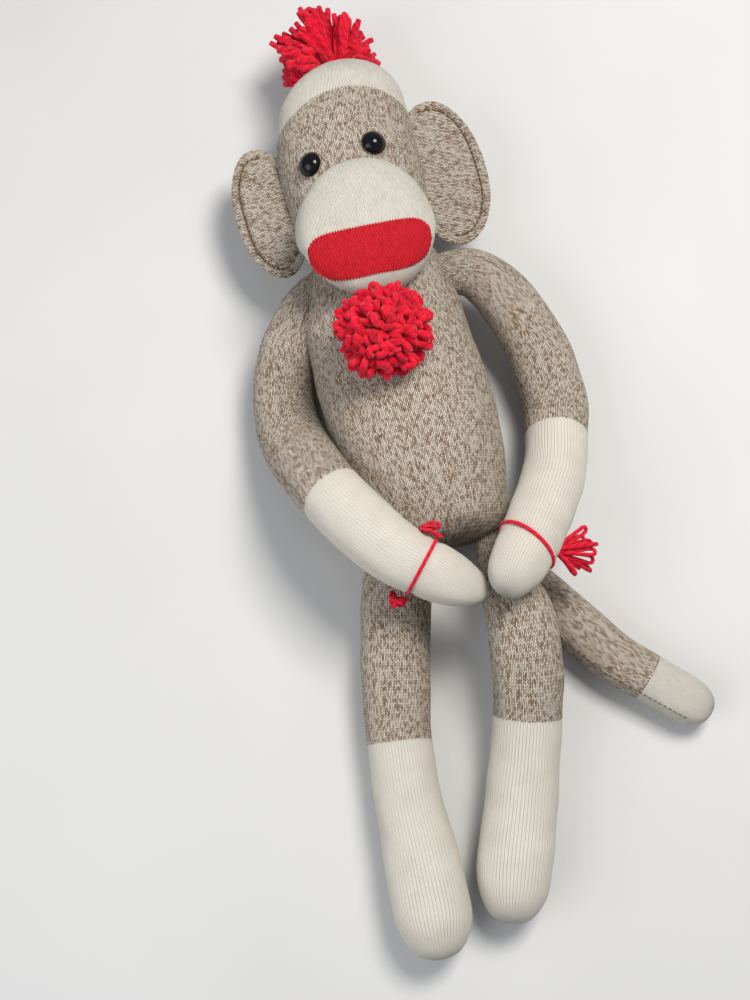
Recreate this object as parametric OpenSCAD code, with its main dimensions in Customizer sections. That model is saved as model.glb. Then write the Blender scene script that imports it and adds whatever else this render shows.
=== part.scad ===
// Stuffed monkey sewn from a pair of heeled work socks, lying on its back.
// The origin is where the middle of the back rests on the surface, +Z is up out of the belly,
// +Y points to the head, and +X is the monkey's own left side.
// Each limb is a sock tube: a cover of one knit layer round a core of fibre filling.

/* [Knit] */
// Thickness of one layer of sock knit
knit_t = 1.6; // [1:0.1:2.5]
// Play between a cover and the filling inside it
fill_gap = 0.25; // [0.1:0.05:0.5]
// Half the space left at each bend between two stuffed sections
bend_gap = 0.2; // [0.15:0.05:0.5]

/* [Torso and head] */
// Lean of the body and head towards the monkey's own right, in degrees
lean = 13; // [5:1:20]
// Length of the torso from the seat to the neck
torso_l = 175; // [165:1:185]
// Length of the head from the neck to the top of the crown
head_l = 134; // [128:0.5:142]
// How far up the head the cream crown cap starts
cap_start = 95; // [85:1:105]

/* [Muzzle] */
// Width of the muzzle
muzzle_w = 85; // [76:1:86]
// Length of the muzzle along the head
muzzle_l = 80; // [70:1:84]
// Height of the muzzle's tip above the resting surface
muzzle_top = 106; // [98:1:112]

/* [Eyes] */
// Diameter of the safety eyes
eye_d = 15; // [12:0.5:18]
// Diameter of the shank behind each eye
shank_d = 4; // [3:0.5:5]
// Diameter of the locking washer on each shank
washer_d = 13; // [10:0.5:16]

/* [Yarn] */
// Thickness of the red worsted yarn
yarn_d = 2.2; // [1.5:0.1:3]
// Thickness of the sewing thread
thread_d = 1; // [0.6:0.1:1.4]
// Radius of the yarn pompom on the chest
chin_pom_r = 29; // [24:1:30]
// Radius of the yarn pompom on the crown
crown_pom_r = 27; // [22:1:30]

/* [Hidden] */

ragg = [0.69, 0.62, 0.56];
cream = [0.87, 0.85, 0.79];
red = [0.84, 0.09, 0.16];
white_fibre = [0.96, 0.96, 0.95];
black = [0.05, 0.05, 0.06];

// Sides of a limb's tube, and of the wider torso and head
limb_sides = 16;
body_sides = 24;
// Angles of the rings that close a rounded end
dome_steps = [20, 40, 60, 77];
// The two directions of the leaning body: along it to the crown, and across it to the left side
along = [-sin(lean), cos(lean), 0];
across = [cos(lean), sin(lean), 0];
up = [0, 0, 1];
// Middle of the neck, where the head turns on the torso
neck = [-26.7, 101.5, 41];
core_in = knit_t + fill_gap;

// --- Tubes: a limb is a list of [x, y, z, half width, half height], joined by a smooth curve ---

function unit(v) = v / norm(v);
function pick(list, i) = list[max(0, min(len(list) - 1, i))];
function curve(a, b, c, d, u) =
    b + (c - a) * (u / 2) + (2 * a - 5 * b + 4 * c - d) * (u * u / 2)
      + (3 * b - a - 3 * c + d) * (u * u * u / 2);
function at(limb, t) =
    let (i = max(0, min(len(limb) - 2, floor(t))), u = t - i)
    curve(pick(limb, i - 1), limb[i], limb[i + 1], pick(limb, i + 2), u);
function place(p) = [p[0], p[1], p[2]];
function heading(limb, t) = unit(place(at(limb, t + 0.01)) - place(at(limb, t - 0.01)));

// Stations from a to b, each [place on the limb, share of full size, how far the end has turned]
function stations(a, b, dome_a, dome_b, count) = concat(
    dome_a == 0 ? [] : [for (i = [len(dome_steps) - 1:-1:0]) let (g = dome_steps[i])
        [a + dome_a * (1 - sin(g)), cos(g), -sin(g)]],
    [for (i = [0:count]) [a + dome_a + (b - dome_b - a - dome_a) * i / count, 1,
        i == 0 && dome_a == 0 ? -0.001 : i == count && dome_b == 0 ? 0.001 : 0]],
    dome_b == 0 ? [] : [for (g = dome_steps) [b - dome_b * (1 - sin(g)), cos(g), sin(g)]]);

// One ring square to direction d, drawn in by inset and never lower than the surface it rests on
function ring(p, d, share, inset, n) =
    let (side = unit(cross(d, up)), top = cross(side, d))
    [for (i = [0:n - 1])
        let (g = 360 * i / n, q = place(p) + side * ((p[3] - inset) * share * cos(g))
                                  + top * ((p[4] - inset) * share * sin(g)))
        [q[0], q[1], max(q[2], inset)]];

// End rings are drawn in by the cover's thickness, or by the bend gap where the end is open
function rings(limb, marks, inset, n, dir) = [for (m = marks)
    let (p = at(limb, m[0]), d = is_undef(dir) ? heading(limb, m[0]) : dir,
         pull = abs(m[2]) == 0.001 ? bend_gap * sign(m[2]) : inset * m[2],
         q = [p[0] - d[0] * pull, p[1] - d[1] * pull, p[2] - d[2] * pull, p[3], p[4]])
    ring(q, d, m[1], inset, n)];

function flip(list) = [for (i = [len(list) - 1:-1:0]) list[i]];
function middle(r) = [for (k = [0:2]) [for (p = r) p[k]] * [for (p = r) 1] / len(r)];

// Skin over a row of rings. Its ends are closed, or joined to each other for a tube open at both.
module skin(rows, looped = false) {
    n = len(rows[0]);
    m = len(rows);
    points = concat([for (r = rows) each r], looped ? [] : [middle(rows[0]), middle(rows[m - 1])]);
    sides = [for (i = [0:m - (looped ? 1 : 2)]) for (j = [0:n - 1])
        let (a = i * n + j, b = i * n + (j + 1) % n, c = ((i + 1) % m) * n + (j + 1) % n,
             d = ((i + 1) % m) * n + j)
        each [[a, b, c], [a, c, d]]];
    ends = looped ? [] : [for (j = [0:n - 1]) let (k = (j + 1) % n)
        each [[m * n, k, j], [m * n + 1, (m - 1) * n + j, (m - 1) * n + k]]];
    polyhedron(points, concat(sides, ends), convexity = 6);
}

// Knit cover from a to b of a limb, open at an end that has no dome, and the filling inside it
module cover(limb, a, b, dome_a, dome_b, count, n = limb_sides, dir = undef) {
    marks = stations(a, b, dome_a, dome_b, count);
    outer = rings(limb, marks, 0, n, dir);
    inner = rings(limb, marks, knit_t, n, dir);
    if (dome_a == 0 && dome_b == 0) skin(concat(outer, flip(inner)), looped = true);
    else if (dome_a == 0) skin(concat(flip(inner), outer));
    else skin(concat(outer, flip(inner)));
}
module filling(limb, a, b, dome_a, dome_b, count, n = limb_sides, dir = undef, slack = 0) {
    skin(rings(limb, stations(a, b, dome_a, dome_b, count), core_in + slack, n, dir));
}
// Yarn or thread laid along points
module strand(route, d, sides = 6, looped = false) {
    n = len(route);
    skin([for (i = [0:n - 1])
        let (a = looped ? route[(i + n - 1) % n] : pick(route, i - 1),
             b = looped ? route[(i + 1) % n] : pick(route, i + 1),
             h = unit(b - a), s = unit(cross(h, abs(h[2]) > 0.9 ? [1, 0, 0] : up)), t = cross(s, h))
        [for (k = [0:sides - 1]) route[i] + (s * cos(360 * k / sides) + t * sin(360 * k / sides)) * d / 2]],
        looped);
}
// Points round a limb from one side of a knot to the other, standing off its cover
knot_gap = 9;
function round_limb(limb, t, off, count) =
    let (p = at(limb, t), d = heading(limb, t), side = unit(cross(d, up)), top = cross(side, d))
    [for (i = [0:count - 1]) let (g = 180 + knot_gap / 2 + (360 - knot_gap) * i / (count - 1))
        place(p) + side * ((p[3] + off) * cos(g)) + top * ((p[4] + off) * sin(g))];

// --- Torso: [offset across, height, half width, half height] at even steps from seat to neck ---

torso_shape = [[0, 36, 39.5, 32], [0.5, 36.5, 43, 36.5], [0.5, 38, 46.5, 41.5], [0, 38.5, 49.5, 42.8],
               [-0.5, 38.3, 49, 42.5], [-1, 38.2, 46, 41], [-1, 39.5, 39, 35.5], [0, 41, 30.5, 30.5]];
torso = [for (i = [0:7])
    let (s = torso_shape[i], p = neck - along * torso_l * (7 - i) / 7 + across * s[0])
    [p[0], p[1], s[1], s[2], s[3]]];
torso_end = 7;
seat_dome = 0.55;

module torso_cover() {
    color(ragg) cover(torso, 0, torso_end, seat_dome, 0, 11, body_sides, along);
}
module torso_stuffing() {
    color(white_fibre) filling(torso, 0, torso_end, seat_dome, 0, 11, body_sides, along, slack = 0.7);
}
// Gathering thread drawn round the neck, just below the turn
module neck_thread() {
    turns_at = torso_end - 0.12;
    p = at(torso, turns_at);
    color(white_fibre)
        strand([for (i = [0:23]) let (g = 15 * i)
            place(p) + across * ((p[3] + thread_d) * cos(g)) + up * ((p[4] + thread_d) * sin(g))],
            thread_d, looped = true);
}
// Run of small stitches that closes the slit between the two legs
module crotch_seam() {
    color(white_fibre) strand([for (i = [0:6]) [8 + 1.4 * i, -80 + 0.5 * i, 30 + 4 * sin(30 * i)]], thread_d);
}

// --- Head: [offset across, half width, half height] at even steps from the neck to the crown ---

head_shape = [[0, 31, 31], [-0.7, 40.5, 39], [-1.5, 43.5, 41], [-1.2, 43.5, 41], [1.5, 40, 38.5],
              [5, 35, 36]];
head_axis_z = 40.5;
head_end = 5;
crown_dome = 1;
head = [for (i = [0:5])
    let (p = neck + along * (head_l * i / 5) + across * head_shape[i][0])
    [p[0], p[1], head_axis_z, head_shape[i][1], head_shape[i][2]]];
cap_at = cap_start / head_l * head_end;

module head_cover() {
    color(ragg) cover(head, 0, cap_at, 0, 0, 9, body_sides, along);
}
// The sock's cream toe, closed over the crown
module crown_cap() {
    color(cream) cover(head, cap_at, head_end, 0, crown_dome, 2, body_sides, along);
}
module head_stuffing() {
    color(white_fibre) filling(head, 0, head_end, 0, crown_dome, 9, body_sides, along);
}
// Height of the head's front at a place, and the way it faces there
function head_spot(x, y) =
    let (rel = [x, y, 0] - [neck[0], neck[1], 0], t = max(0.2, min(4.2, rel * along / head_l * 5)),
         p = at(head, t), side = [x - p[0], y - p[1], 0] * across,
         k = max(-0.94, min(0.94, side / p[3])))
    [p[2] + p[4] * sqrt(1 - k * k), unit(across * (k / p[3]) + up * (sqrt(1 - k * k) / p[4]))];

// --- Muzzle: a stuffed bag sewn on round its rim, with the sock's red heel as the mouth ---

muzzle_mid = neck + across * -5 + along * 10;
muzzle_rings = [0, 12, 26, 42, 58, 74, 86];
muzzle_lift = 0.6;
function rim_share(g) = 0.93 * cos(g) ^ 0.75 + 0.12 * sin(2 * g) * 0.9;
function rim(k, share, inset) =
    muzzle_mid + across * ((muzzle_w / 2 - inset) * share * cos(-15 * k))
               + along * ((muzzle_l / 2 - inset) * share * sin(-15 * k));
// The bag lies on the head, and past the neck its lower edge hangs over the chest
chest_clear = 81.5;
function seat(p) = [p[0], p[1], max(head_spot(p[0], p[1])[0] + muzzle_lift,
                                    chest_clear - 2.5 * max(0, (p - neck) * along))];
// Ring of the dome at angle g above its rim
function muzzle_ring(g, inset) = [for (k = [0:23])
    let (q = rim(k, rim_share(g), inset), low = seat(rim(k, rim_share(0), min(inset, knit_t)))[2])
    [q[0], q[1], low + (muzzle_top - inset - low) * sin(g) / sin(86)]];
function muzzle_floor(share, inset) = [for (k = [0:23])
    let (s = seat(rim(k, share * rim_share(0), inset))) [s[0], s[1], s[2] + 0.7]];

module muzzle_cover() {
    color(cream) skin(concat([for (g = flip(muzzle_rings)) muzzle_ring(g, knit_t)],
                             [for (g = muzzle_rings) muzzle_ring(g, 0)]));
}
module muzzle_stuffing() {
    bag_in = core_in + 0.6;
    color(white_fibre) skin(concat([for (s = [0.1, 0.35, 0.6, 0.8, 0.93]) muzzle_floor(s, bag_in)],
                                   [for (g = [12, 26, 42, 58, 74, 86]) muzzle_ring(g, bag_in)]));
}
// Point standing off the dome over a place given as shares of the muzzle's half width and length
dome_angles = [for (g = [26:4:90]) [rim_share(g), g]];
function on_dome(a, b, off) =
    let (r = norm([a, b]), g = lookup(r, dome_angles),
         q = muzzle_mid + across * (muzzle_w / 2 * a) + along * (muzzle_l / 2 * b),
         low = seat(muzzle_mid + across * (muzzle_w / 2 * 0.93 * a / r)
                               + along * (muzzle_l / 2 * 0.93 * b / r))[2],
         out = unit(across * a + along * b + up * sin(g)) * off)
    [q[0], q[1], low + (muzzle_top - low) * sin(g)] + out;
mouth_cols = 12;
mouth_rows = 4;
// The mouth is straight along its top and round below
function mouth_grid(off) = [for (i = [0:mouth_cols]) let (a = -0.84 + 1.68 * i / mouth_cols,
        top = -0.18, low = -0.18 - 0.66 * sqrt(max(0.02, 1 - (a / 0.88) ^ 2)))
    [for (j = [0:mouth_rows]) on_dome(a, low + (top - low) * j / mouth_rows, off)]];
module mouth_patch() {
    under = mouth_grid(0.9);
    over = mouth_grid(2.1);
    color(red) skin([for (i = [0:mouth_cols]) concat(over[i], flip(under[i]))]);
}
// Whip stitches that hold the rim of the muzzle to the head
module muzzle_seam() {
    color(white_fibre)
        strand([for (k = [0:23]) seat(rim(k, rim_share(0), -1.5)) + up * 0.9], thread_d, looped = true);
}

// --- Eyes: safety eyes, a dome on a shank, held inside by a locking washer ---

eye_spots = [[-29, 164], [-66, 153]];
module facing(spot, depth) {
    h = head_spot(spot[0], spot[1]);
    d = h[1];
    translate([spot[0], spot[1], h[0]] - d * depth)
        rotate([0, acos(d[2]), atan2(d[1], d[0])]) children();
}
module eye(spot) {
    eye_h = 5.6;
    color(black) facing(spot, -0.7) {
        intersection() {
            translate([0, 0, eye_h - eye_d / 2]) sphere(d = eye_d, $fn = 64);
            cylinder(d = eye_d, h = eye_h, $fn = 64);
        }
        translate([0, 0, -13]) cylinder(d = shank_d, h = 13.2, $fn = 32);
    }
}
module eye_washer(spot) {
    color(black) facing(spot, 6) difference() {
        cylinder(d = washer_d, h = 1.4, $fn = 48);
        translate([0, 0, -1]) cylinder(d = shank_d + 0.1, h = 4, $fn = 32);
    }
}
module eye_left() { eye(eye_spots[0]); }
module eye_right() { eye(eye_spots[1]); }
module eye_washer_left() { eye_washer(eye_spots[0]); }
module eye_washer_right() { eye_washer(eye_spots[1]); }

// --- Ears: two layers sewn together, turned and topstitched near the rim ---

ear_t = 2.6;
ear_gap = 0.1;
// Each ear: [root middle, turn about up, dip of its outer edge, reach outward, half length]
ear_on_left = [[8, 162, 46], 14, 8, 37, 49];
ear_on_right = [[-88, 143, 42], 196, 10, 29, 44];
ear_trim = 6;
// The rim is an ellipse cut off a little behind its middle by the straight root
ear_cut = 115;
function ear_outline(reach, half, trim) = [for (i = [0:26]) let (g = -ear_cut + 2 * ear_cut * i / 26)
    [max(0, (reach / (1 - cos(ear_cut))) * (cos(g) - cos(ear_cut)) - trim * max(0, cos(g))),
     (half - trim) * sin(g)]];
module ear_layer(ear, level) {
    translate(ear[0]) rotate([0, 0, ear[1]]) rotate([0, ear[2], 0])
        translate([0, 0, level]) linear_extrude(ear_t) polygon(ear_outline(ear[3], ear[4], 0));
}
module ear_topstitch(ear) {
    line = ear_outline(ear[3], ear[4], ear_trim);
    color(ragg) translate(ear[0]) rotate([0, 0, ear[1]]) rotate([0, ear[2], 0])
        strand([for (i = [1:25]) [line[i][0], line[i][1], ear_t + ear_gap + thread_d / 2 + 0.05]], thread_d);
}
module ear_front_left() { color(ragg) ear_layer(ear_on_left, ear_gap); }
module ear_back_left() { color(ragg) ear_layer(ear_on_left, -ear_t); }
module ear_topstitch_left() { ear_topstitch(ear_on_left); }
module ear_front_right() { color(ragg) ear_layer(ear_on_right, ear_gap); }
module ear_back_right() { color(ragg) ear_layer(ear_on_right, -ear_t); }
module ear_topstitch_right() { ear_topstitch(ear_on_right); }

// --- Pompoms: cut worsted yarn tied round its middle ---

function tuft(i, k) = 1 + 0.07 * sin(97 * i + 61 * k) + 0.05 * cos(53 * i - 131 * k);
module pompom(mid, axis, radius, squash) {
    side = unit(cross(axis, abs(axis[1]) > 0.9 ? [1, 0, 0] : [0, 1, 0]));
    other = cross(axis, side);
    skin([for (i = [0:8]) let (g = -78 + 156 * i / 8)
        [for (k = [0:17]) let (a = -20 * k, r = radius * tuft(i, k))
            mid + (side * cos(a) + other * sin(a)) * (r * cos(g)) + axis * (r * squash * sin(g))]]);
}
chin_pom = [-23.5, 38.5, 102];
module chin_pompom() {
    color(red) pompom(chin_pom, up, chin_pom_r * 0.95, 0.72);
}
module chin_pompom_tie() {
    color(red) translate(chin_pom) rotate_extrude($fn = 48) translate([4, 0]) circle(d = yarn_d, $fn = 24);
}
crown_top = neck + along * head_l + across * 5;
crown_pom = crown_top + [-8, 23, 4];
crown_way = unit([-0.5, 0.86, 0.1]);
module crown_pompom() {
    color(red) pompom(crown_pom, crown_way, crown_pom_r, 0.8);
}
module crown_pompom_tie() {
    color(red) translate(crown_top + [-3, 6, 1]) rotate([-90, 0, 25])
        rotate_extrude($fn = 48) translate([4, 0]) circle(d = yarn_d, $fn = 24);
}

// --- Arms: ragg sleeve to the elbow, cream sock end as forearm and hand ---

arm_left = [[18, 97, 43, 13, 13], [34, 95, 43, 15, 15.5], [52, 80, 38, 17, 17.5], [70, 54, 29, 18.8, 19],
            [80, 24, 24, 19.5, 20], [80, -1, 29, 18.5, 19], [76, -27, 43, 18.4, 18.5],
            [66, -54, 62, 18, 18], [56, -76, 76, 17, 17], [48, -92, 82, 15.5, 15.5], [43, -106, 83, 13, 13.5]];
arm_right = [[-64, 91, 42, 12, 12], [-74, 78, 40, 15, 15.5], [-82, 56, 34, 17, 17.5],
             [-85, 28, 24, 18.4, 19], [-79, 0, 29, 19.5, 19.5], [-65, -28, 51, 19.3, 19.3],
             [-46.5, -53, 69, 18.8, 18.5], [-23, -76, 74.5, 18, 18], [-4, -87, 73.5, 17, 17],
             [15, -96, 72, 14.5, 15], [33, -103, 71, 11.5, 12]];
arm_end = 10;
elbow_left = 5;
elbow_right = 5.75;
wrist_left = 8.05;
wrist_right = 8.15;
arm_root = 0.9;
finger_dome_left = 1.25;
finger_dome_right = 1.3;

module sleeve_left() { color(ragg) cover(arm_left, 0, elbow_left, arm_root, 0, 9); }
module sleeve_right() { color(ragg) cover(arm_right, 0, elbow_right, arm_root, 0, 9); }
module sleeve_stuffing_left() { color(white_fibre) filling(arm_left, 0, elbow_left, arm_root, 0, 9); }
module sleeve_stuffing_right() { color(white_fibre) filling(arm_right, 0, elbow_right, arm_root, 0, 9); }
module hand_left() { color(cream) cover(arm_left, elbow_left, arm_end, 0, finger_dome_left, 8); }
module hand_right() { color(cream) cover(arm_right, elbow_right, arm_end, 0, finger_dome_right, 8); }
module hand_stuffing_left() {
    color(white_fibre) filling(arm_left, elbow_left, arm_end, 0, finger_dome_left, 8);
}
module hand_stuffing_right() {
    color(white_fibre) filling(arm_right, elbow_right, arm_end, 0, finger_dome_right, 8);
}
// Ring of thread that sews the arm's end to the torso, square to the lateral axis
module shoulder_seam(p) {
    color(white_fibre) translate(p) rotate([0, 90, 0])
        rotate_extrude($fn = 48) translate([5, 0]) circle(d = thread_d, $fn = 20);
}
module shoulder_seam_left() { shoulder_seam([17, 97, 43]); }
module shoulder_seam_right() { shoulder_seam([-60, 92, 42]); }

// Yarn tied round each wrist, and its bunched ends past the knot
wrist_off = 1.35;
module wrist_yarn_left() {
    color(red) strand(round_limb(arm_left, wrist_left, wrist_off, 25), yarn_d);
}
module wrist_yarn_right() {
    color(red) strand(round_limb(arm_right, wrist_right, wrist_off, 25), yarn_d);
}
// Bunch of cut yarn: it leaves the knot thin and spreads towards its cut ends
module bunch(route, radii) {
    n = len(route);
    color(red) skin([for (i = [0:n - 1])
        let (h = unit(pick(route, i + 1) - pick(route, i - 1)), s = unit(cross(h, up)), t = cross(s, h))
        [for (k = [0:9]) let (g = 36 * k)
            route[i] + (s * cos(g) + t * sin(g)) * (radii[i] * tuft(i, k))]]);
}
module wrist_tassel_left() {
    bunch([[76, -76, 73], [79.5, -77, 71], [84, -78, 68], [89, -79, 65], [94, -79, 63]], [1.8, 4, 7.2, 8.5, 5.5]);
}
module wrist_tassel_right() {
    bunch([[-2, -68, 80], [2, -67, 82], [6, -67, 83], [10, -67, 83]], [1.2, 2.6, 4, 4.2]);
    bunch([[-15, -105, 61], [-12, -106, 61], [-9, -107, 61], [-6, -108, 61]], [1.8, 3.2, 3.4, 2]);
}

// --- Legs: the torso's sock split in two, bending at the hip crease and at the cream sock top ---

leg_on_left = [[40, -80, 43, 18, 18], [54, -113, 44, 19.5, 19.3], [58, -141, 40, 20, 19.5],
               [58, -166, 32, 19.5, 19.5], [56.5, -192, 25, 20.2, 20], [53.5, -221, 20.5, 21, 20.8],
               [50, -249, 20.5, 21.3, 21], [47.7, -278, 20.5, 19, 19]];
leg_on_right = [[-14, -86, 22, 20, 21], [-16, -112, 21, 20.5, 21], [-16, -146, 20.5, 19.6, 20.3],
                [-14, -180, 19.5, 18.6, 19.8], [-9, -213, 19.5, 19, 19.8], [-2.5, -242, 20.5, 21, 20.9],
                [3.5, -270, 21, 22, 21.4], [7.7, -297, 21, 19.5, 19.5]];
hip_crease = 1;
knee = 3;
leg_end = 7;
toe_dome = 0.95;
hip_root = 0.35;

module hip_cover(leg) { color(ragg) cover(leg, 0, hip_crease, hip_root, 0, 4); }
module hip_stuffing(leg) { color(white_fibre) filling(leg, 0, hip_crease, hip_root, 0, 4); }
module leg_cover(leg) { color(ragg) cover(leg, hip_crease, knee, 0, 0, 6); }
module leg_stuffing(leg) { color(white_fibre) filling(leg, hip_crease, knee, 0, 0, 6); }
module foot(leg) { color(cream) cover(leg, knee, leg_end, 0, toe_dome, 8); }
module foot_stuffing(leg) { color(white_fibre) filling(leg, knee, leg_end, 0, toe_dome, 8); }
module hip_cover_left() { hip_cover(leg_on_left); }
module hip_cover_right() { hip_cover(leg_on_right); }
module hip_stuffing_left() { hip_stuffing(leg_on_left); }
module hip_stuffing_right() { hip_stuffing(leg_on_right); }
module leg_left() { leg_cover(leg_on_left); }
module leg_right() { leg_cover(leg_on_right); }
module leg_stuffing_left() { leg_stuffing(leg_on_left); }
module leg_stuffing_right() { leg_stuffing(leg_on_right); }
module foot_left() { foot(leg_on_left); }
module foot_right() { foot(leg_on_right); }
module foot_stuffing_left() { foot_stuffing(leg_on_left); }
module foot_stuffing_right() { foot_stuffing(leg_on_right); }

// --- Tail: one long ragg tube with the cream toe of a sock at its end ---

tail = [[53, -66, 12, 11, 8], [60, -82, 11.5, 14, 10], [76, -98, 12, 15.5, 11.5],
        [91, -113, 14.5, 15.8, 14.5], [109, -129, 15, 15.2, 15.2], [130, -142, 14.5, 14.2, 15],
        [149, -153, 14, 13.7, 14.5], [165, -163, 13.5, 12.5, 14]];
tail_end = 7;
tail_change = 5;
tail_root = 0.5;
tail_dome = 0.9;
module tail_cover() { color(ragg) cover(tail, 0, tail_change, tail_root, 0, 9); }
module tail_tip() { color(cream) cover(tail, tail_change, tail_end, 0, tail_dome, 3); }
module tail_stuffing() { color(white_fibre) filling(tail, 0, tail_end, tail_root, tail_dome, 10); }
// Hand stitches that close the tail's edge, along its side towards the feet
module tail_seam() {
    seam_off = 0.8;
    color(white_fibre) strand([for (i = [0:12]) let (t = 2.6 + 3.3 * i / 12, p = at(tail, t),
            side = unit(cross(heading(tail, t), up)))
        place(p) + side * ((p[3] + seam_off) * cos(20)) + up * ((p[4] + seam_off) * sin(20))], thread_d);
}

torso_cover();
torso_stuffing();
hip_cover_left();
hip_cover_right();
hip_stuffing_left();
hip_stuffing_right();
crotch_seam();
neck_thread();
chin_pompom();
chin_pompom_tie();
head_cover();
crown_cap();
head_stuffing();
muzzle_cover();
muzzle_stuffing();
mouth_patch();
muzzle_seam();
eye_left();
eye_right();
eye_washer_left();
eye_washer_right();
crown_pompom();
crown_pompom_tie();
ear_front_left();
ear_back_left();
ear_topstitch_left();
ear_front_right();
ear_back_right();
ear_topstitch_right();
shoulder_seam_left();
shoulder_seam_right();
sleeve_left();
sleeve_right();
sleeve_stuffing_left();
sleeve_stuffing_right();
hand_left();
hand_right();
hand_stuffing_left();
hand_stuffing_right();
wrist_yarn_left();
wrist_yarn_right();
wrist_tassel_left();
wrist_tassel_right();
leg_left();
leg_right();
leg_stuffing_left();
leg_stuffing_right();
foot_left();
foot_right();
foot_stuffing_left();
foot_stuffing_right();
tail_cover();
tail_tip();
tail_stuffing();
tail_seam();
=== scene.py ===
# A stuffed sock monkey lying on its back, sewn from two ragg work socks and filled with fibre.
import bpy
import numpy as np
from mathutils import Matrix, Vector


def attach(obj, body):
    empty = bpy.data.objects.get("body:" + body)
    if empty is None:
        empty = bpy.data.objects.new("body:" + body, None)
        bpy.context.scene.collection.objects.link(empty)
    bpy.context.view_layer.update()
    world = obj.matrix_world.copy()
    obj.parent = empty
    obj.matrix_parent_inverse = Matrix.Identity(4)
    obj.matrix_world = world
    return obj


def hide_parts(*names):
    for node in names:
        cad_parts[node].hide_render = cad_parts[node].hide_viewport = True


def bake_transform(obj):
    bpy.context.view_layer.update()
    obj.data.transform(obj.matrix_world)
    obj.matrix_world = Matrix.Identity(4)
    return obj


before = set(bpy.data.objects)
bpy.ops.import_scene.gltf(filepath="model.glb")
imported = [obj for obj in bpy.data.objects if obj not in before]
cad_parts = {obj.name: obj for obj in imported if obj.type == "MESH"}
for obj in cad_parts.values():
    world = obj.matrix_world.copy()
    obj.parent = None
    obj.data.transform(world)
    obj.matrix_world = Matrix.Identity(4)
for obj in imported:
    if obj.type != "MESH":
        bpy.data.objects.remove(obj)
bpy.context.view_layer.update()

# --- Studio: a pale table top, one large soft key at the head's right, a fill and a dim room ---
# The camera stands over the belly, a little towards the feet.
camera = bpy.data.objects.new("camera", bpy.data.cameras.new("camera"))
camera.data.lens, camera.data.sensor_width = 50, 36
camera.location = (-0.028, -0.2377, 0.8227)
camera.rotation_euler = (np.radians(14), 0, 0)
bpy.context.collection.objects.link(camera)
bpy.context.scene.camera = camera
bpy.context.scene.view_settings.view_transform = "Standard"


def soft_light(name, place, aim, size, watts, colour):
    """Square area light at place, turned so that it shines on aim."""
    lamp = bpy.data.lights.new(name, "AREA")
    lamp.size, lamp.energy, lamp.color = size, watts, colour
    held = bpy.data.objects.new(name, lamp)
    held.location = place
    way = Vector(aim) - Vector(place)
    held.rotation_euler = way.to_track_quat("-Z", "Y").to_euler()
    bpy.context.collection.objects.link(held)


soft_light("key", (0.32, 0.3, 1.05), (0, 0, 0.03), 0.4, 13, (1, 0.965, 0.92))
soft_light("fill", (-0.75, -0.5, 0.8), (0, -0.05, 0.03), 0.9, 6.5, (0.97, 0.98, 1))
room = bpy.context.scene.world or bpy.data.worlds.new("room")
bpy.context.scene.world = room
room.use_nodes = True
room.node_tree.nodes["Background"].inputs["Color"].default_value = (0.85, 0.9, 1, 1)
room.node_tree.nodes["Background"].inputs["Strength"].default_value = 0.32


class Dye:
    """A shader socket: sums and products of it add Math nodes, and node() adds any other node."""

    def __init__(self, tree, socket=None):
        self.tree, self.socket = tree, socket

    def node(self, kind, settings=None, sockets=None, out=0):
        """Adds one node: settings first (a ramp's stops among them), then values or links of sockets."""
        made = self.tree.nodes.new("ShaderNode" + kind)
        for key, value in (settings or {}).items():
            if key == "stops":
                stops = made.color_ramp.elements
                while len(stops) < len(value):
                    stops.new(0.5)
                for stop, (at, colour) in zip(stops, value):
                    stop.position, stop.color = at, (*colour, 1)
            else:
                setattr(made, key, value)
        for key, value in (sockets or {}).items():
            if isinstance(value, Dye):
                self.tree.links.new(value.socket, made.inputs[key])
            else:
                made.inputs[key].default_value = value
        return Dye(self.tree, made.outputs[out])

    def work(self, operation, *terms):
        return self.node("Math", {"operation": operation}, dict(enumerate(terms)))

    def __add__(self, other): return self.work("ADD", self, other)
    __radd__ = __add__
    def __sub__(self, other): return self.work("SUBTRACT", self, other)
    def __rsub__(self, other): return self.work("SUBTRACT", other, self)
    def __mul__(self, other): return self.work("MULTIPLY", self, other)
    __rmul__ = __mul__
    def __pow__(self, other): return self.work("POWER", self, other)
    def floor(self): return self.work("FLOOR", self)
    def part(self): return self.work("FRACT", self)
    def size(self): return self.work("ABSOLUTE", self)
    def sine(self): return self.work("SINE", self)


def finish_of(name, colour, rough, height=None, depth=0.0, sheen=0.0, coat=0.0):
    """Material with a colour, a roughness and a relief, each a socket or a number.

    depth is the relief in metres that a height of 1 stands for.
    """
    made = bpy.data.materials.new(name)
    made.use_nodes = True
    tree = made.node_tree
    shader = tree.nodes["Principled BSDF"]
    for key, value in (("Base Color", colour(Dye(tree))), ("Roughness", rough)):
        if isinstance(value, Dye):
            tree.links.new(value.socket, shader.inputs[key])
        else:
            shader.inputs[key].default_value = value
    shader.inputs["Sheen Weight"].default_value = sheen
    shader.inputs["Sheen Roughness"].default_value = 0.5
    shader.inputs["Coat Weight"].default_value = coat
    shader.inputs["Coat Roughness"].default_value = 0.04
    shader.inputs["Specular IOR Level"].default_value = 0.2 if coat else 0.05
    if height:
        bump = Dye(tree).node("Bump", sockets={"Height": height(Dye(tree)), "Distance": depth,
                                               "Strength": 1.0})
        tree.links.new(bump.socket, shader.inputs["Normal"])
    return made


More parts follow.
